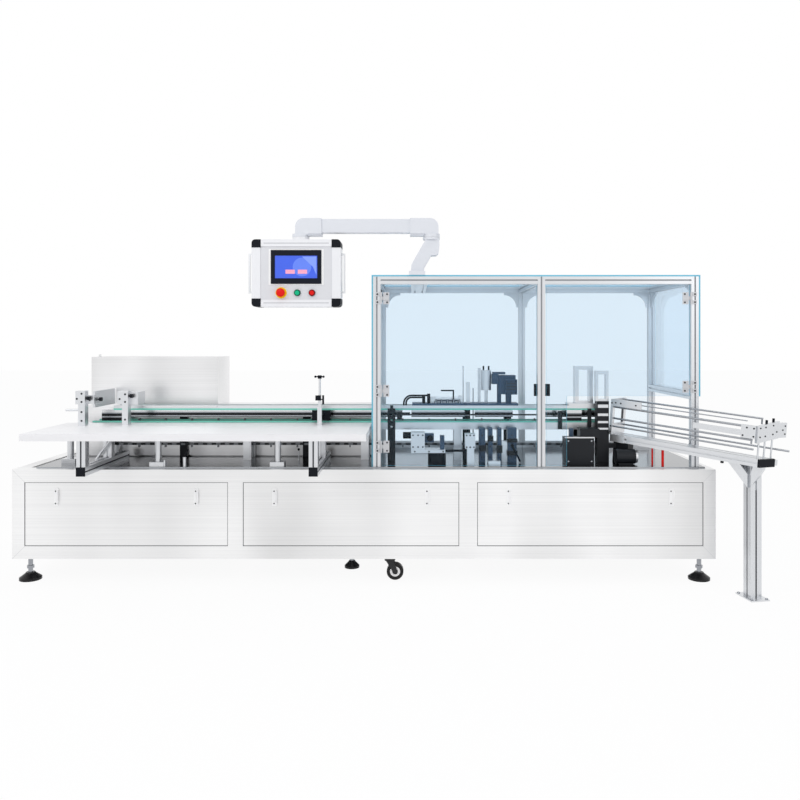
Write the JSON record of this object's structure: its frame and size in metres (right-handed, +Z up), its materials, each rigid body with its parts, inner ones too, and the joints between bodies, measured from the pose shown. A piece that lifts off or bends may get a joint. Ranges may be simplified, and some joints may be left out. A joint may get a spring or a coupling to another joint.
{
  "type": "automatic cartoner",
  "caption": "Long packaging machine that erects and closes cartons: base cabinet, feed table, lugged chain conveyor, clear guard with doors, operator panel on a swivel arm, carton magazine.",
  "frame": {"origin": "on the floor at the middle of the machine's bounding box", "axes": "+X along the line towards the carton magazine, +Y from the operator's side to the rear, +Z up"},
  "size_m": [3.9884, 1.2462, 1.95],
  "materials": {
    "stainless": "horizontally brushed stainless steel sheet and tube",
    "panel_steel": "horizontally brushed stainless steel panels",
    "aluminium": "clear anodised aluminium",
    "white_plastic": "white moulded plastic",
    "rubber": "black rubber",
    "zinc": "bright zinc plated steel",
    "castor_metal": "dark pressed steel",
    "acrylic": "pale blue clear acrylic sheet",
    "hinge_metal": "grey cast hinge",
    "arm_paint": "light grey coated aluminium",
    "black_plastic": "black moulded plastic",
    "screen": "black display with a blue picture",
    "yellow": "yellow plastic",
    "red": "red plastic",
    "green": "green plastic",
    "table_steel": "fine brushed stainless steel sheet",
    "strip_green": "green low friction plastic",
    "chain_steel": "oiled steel chain",
    "black_steel": "blackened steel",
    "unit_grey": "blue grey coated units"
  },
  "bodies": {
    "machine": {"base_rails": "stainless", "base_uprights": "stainless", "base_cross_rails": "stainless", "access_panels": "panel_steel", "panel_handles": "white_plastic", "deck_plate": "stainless", "foot_pads": "rubber", "foot_stems": "zinc", "castor_plates": "castor_metal", "rear_castor": "castor_metal", "guard_posts": "aluminium", "guard_rails": "aluminium", "roof_beams": "aluminium", "guard_braces": "aluminium", "guard_sheets": "acrylic", "guard_roof": "acrylic", "hinge_brackets": "hinge_metal", "arm_bracket": "arm_paint", "feed_table": "table_steel", "table_beams": "aluminium", "table_posts": "aluminium", "black_fittings": "black_plastic", "rear_housing": "stainless", "rear_box": "stainless", "conveyor_rails": "aluminium", "green_strips": "strip_green", "lug_chain": "chain_steel", "chain_lugs": "chain_steel", "chain_wheels": "black_steel", "carton_guide": "black_steel", "conveyor_stands": "aluminium", "rail_carriers": "black_steel", "tail_brackets": "aluminium", "rail_adjuster": "aluminium", "flap_units": "unit_grey", "unit_posts": "aluminium", "drive_columns": "unit_grey", "portal_guides": "aluminium", "picker_unit": "black_steel", "magazine_beam": "aluminium", "magazine_rods": "zinc", "magazine_plates": "aluminium", "magazine_stand": "aluminium", "air_lines": "red"},
    "left_door": {"left_door": "acrylic", "left_door_leaves": "hinge_metal"},
    "right_door": {"right_door": "acrylic", "right_door_leaves": "hinge_metal"},
    "support_arm": {"support_arm": "arm_paint"},
    "operator_panel": {"hmi_box": "arm_paint", "hmi_corners": "black_plastic", "hmi_display": "screen", "hmi_handles": "aluminium", "stop_ring": "yellow", "stop_button": "red", "start_button": "green", "reset_button": "red"},
    "castor_fork": {"castor_fork": "castor_metal"},
    "castor_wheel": {"castor_wheel": "rubber"}
  },
  "joints": [
    {"name": "left_door_hinge", "type": "hinge", "parent": "machine", "child": "left_door", "pos_m": [-0.0402, -0.2396, 1.1], "axis": [0, 0, -1], "range_deg": [0, 90]},
    {"name": "right_door_hinge", "type": "hinge", "parent": "machine", "child": "right_door", "pos_m": [1.6228, -0.2396, 1.28], "axis": [0, 0, 1], "range_deg": [0, 90]},
    {"name": "arm_swivel", "type": "hinge", "parent": "machine", "child": "support_arm", "pos_m": [0.2308, -0.1696, 1.848], "axis": [0, 0, 1], "range_deg": [-28, 28]},
    {"name": "panel_swivel", "type": "hinge", "parent": "support_arm", "child": "operator_panel", "pos_m": [-0.4802, -0.1696, 1.848], "axis": [0, 0, 1], "range_deg": [-45, 45]},
    {"name": "castor_swivel", "type": "hinge", "parent": "machine", "child": "castor_fork", "pos_m": [0.0068, -0.2176, 0.114], "axis": [0, 0, 1], "continuous": true},
    {"name": "castor_spin", "type": "hinge", "parent": "castor_fork", "child": "castor_wheel", "pos_m": [0.0348, -0.2176, 0.048], "axis": [0, 1, 0], "continuous": true}
  ]
}
